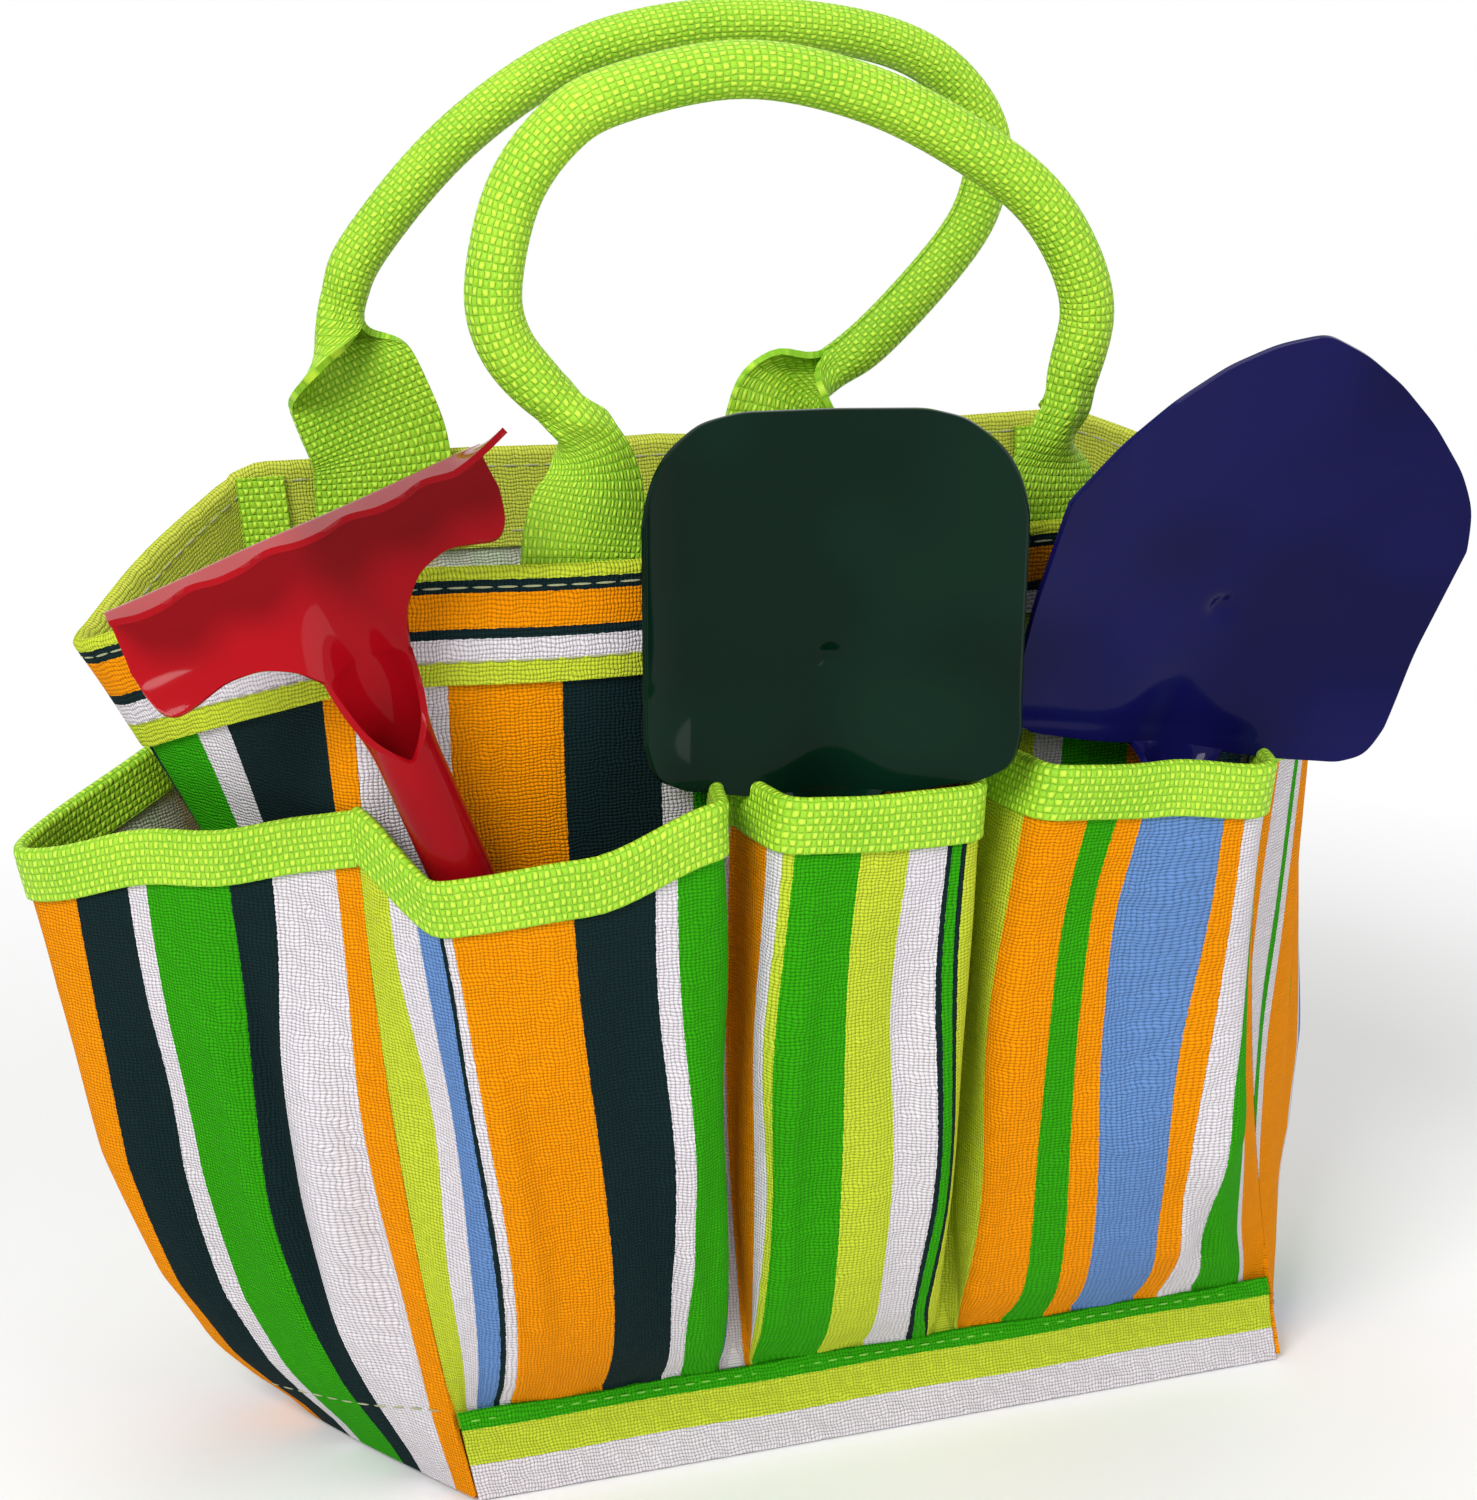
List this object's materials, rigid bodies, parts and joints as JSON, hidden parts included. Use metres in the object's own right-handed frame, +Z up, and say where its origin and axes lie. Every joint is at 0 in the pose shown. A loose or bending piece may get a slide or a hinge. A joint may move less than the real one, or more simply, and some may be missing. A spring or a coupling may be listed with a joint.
{
  "type": "garden tool bag",
  "caption": "Striped canvas tool bag with outside pockets, two rope-cored webbing handles and lift-out hand rake, spade and trowel.",
  "frame": {"origin": "centre of the underside of the base, on the floor", "axes": "+X to the right along the front of the bag, +Y to its back, +Z up"},
  "size_m": [0.2768, 0.1467, 0.2909],
  "materials": {
    "stripe_canvas": "woven cotton canvas with vertical stripes in orange, green, lime, blue, black and off-white",
    "rim_canvas": "the same striped canvas, its stripes running round the mouth, with a lime facing inside",
    "base_canvas": "the same striped canvas, its stripes running along the base",
    "card": "plain stiff board",
    "binding_tape": "folded woven tape, stitched",
    "pocket_tape": "coarse woven webbing, folded over the mouth of the pockets",
    "webbing": "coarse woven webbing",
    "cord": "twisted cotton cord",
    "red_paint": "smooth gloss enamel on pressed steel",
    "green_paint": "smooth gloss enamel on pressed steel",
    "blue_paint": "smooth gloss enamel on pressed steel",
    "grip_wood": "turned and varnished",
    "pin_steel": "plain"
  },
  "bodies": {
    "bag": {"front_panel": "stripe_canvas", "right_gusset": "stripe_canvas", "back_panel": "stripe_canvas", "left_gusset": "stripe_canvas", "rim_band": "rim_canvas", "base_cloth": "base_canvas", "base_board": "card", "seam_binding_front_left": "binding_tape", "seam_binding_front_right": "binding_tape", "seam_binding_back_left": "binding_tape", "seam_binding_back_right": "binding_tape", "front_pockets": "stripe_canvas", "front_pocket_binding": "pocket_tape", "back_pockets": "stripe_canvas", "back_pocket_binding": "pocket_tape", "left_pocket": "stripe_canvas", "left_pocket_binding": "pocket_tape", "right_pocket": "stripe_canvas", "right_pocket_binding": "pocket_tape", "front_handle_tabs": "webbing", "rear_handle_tabs": "webbing"},
    "front_handle": {"front_handle_webbing": "webbing", "front_handle_core": "cord"},
    "rear_handle": {"rear_handle_webbing": "webbing", "rear_handle_core": "cord"},
    "rake": {"rake_head": "red_paint", "rake_grip": "grip_wood", "rake_pin": "pin_steel"},
    "spade": {"spade_head": "green_paint", "spade_grip": "grip_wood", "spade_pin": "pin_steel"},
    "trowel": {"trowel_head": "blue_paint", "trowel_grip": "grip_wood", "trowel_pin": "pin_steel"}
  },
  "joints": [
    {"name": "front_handle_fold", "type": "hinge", "parent": "bag", "child": "front_handle", "pos_m": [-0.019, -0.04849, 0.19735], "axis": [1, 0, 0], "range_deg": [-75, 0]},
    {"name": "rear_handle_fold", "type": "hinge", "parent": "bag", "child": "rear_handle", "pos_m": [-0.0385, 0.04667, 0.19735], "axis": [1, 0, 0], "range_deg": [-85, 0]},
    {"name": "rake_lift_out", "type": "slide", "parent": "bag", "child": "rake", "axis": [-0.3579, -0.0523, 0.9323], "range_m": [0, 0.12]},
    {"name": "spade_lift_out", "type": "slide", "parent": "bag", "child": "spade", "axis": [-0.0174, -0.068, 0.9975], "range_m": [0, 0.12]},
    {"name": "trowel_lift_out", "type": "slide", "parent": "bag", "child": "trowel", "axis": [0.1905, -0.0523, 0.9803], "range_m": [0, 0.12]}
  ]
}
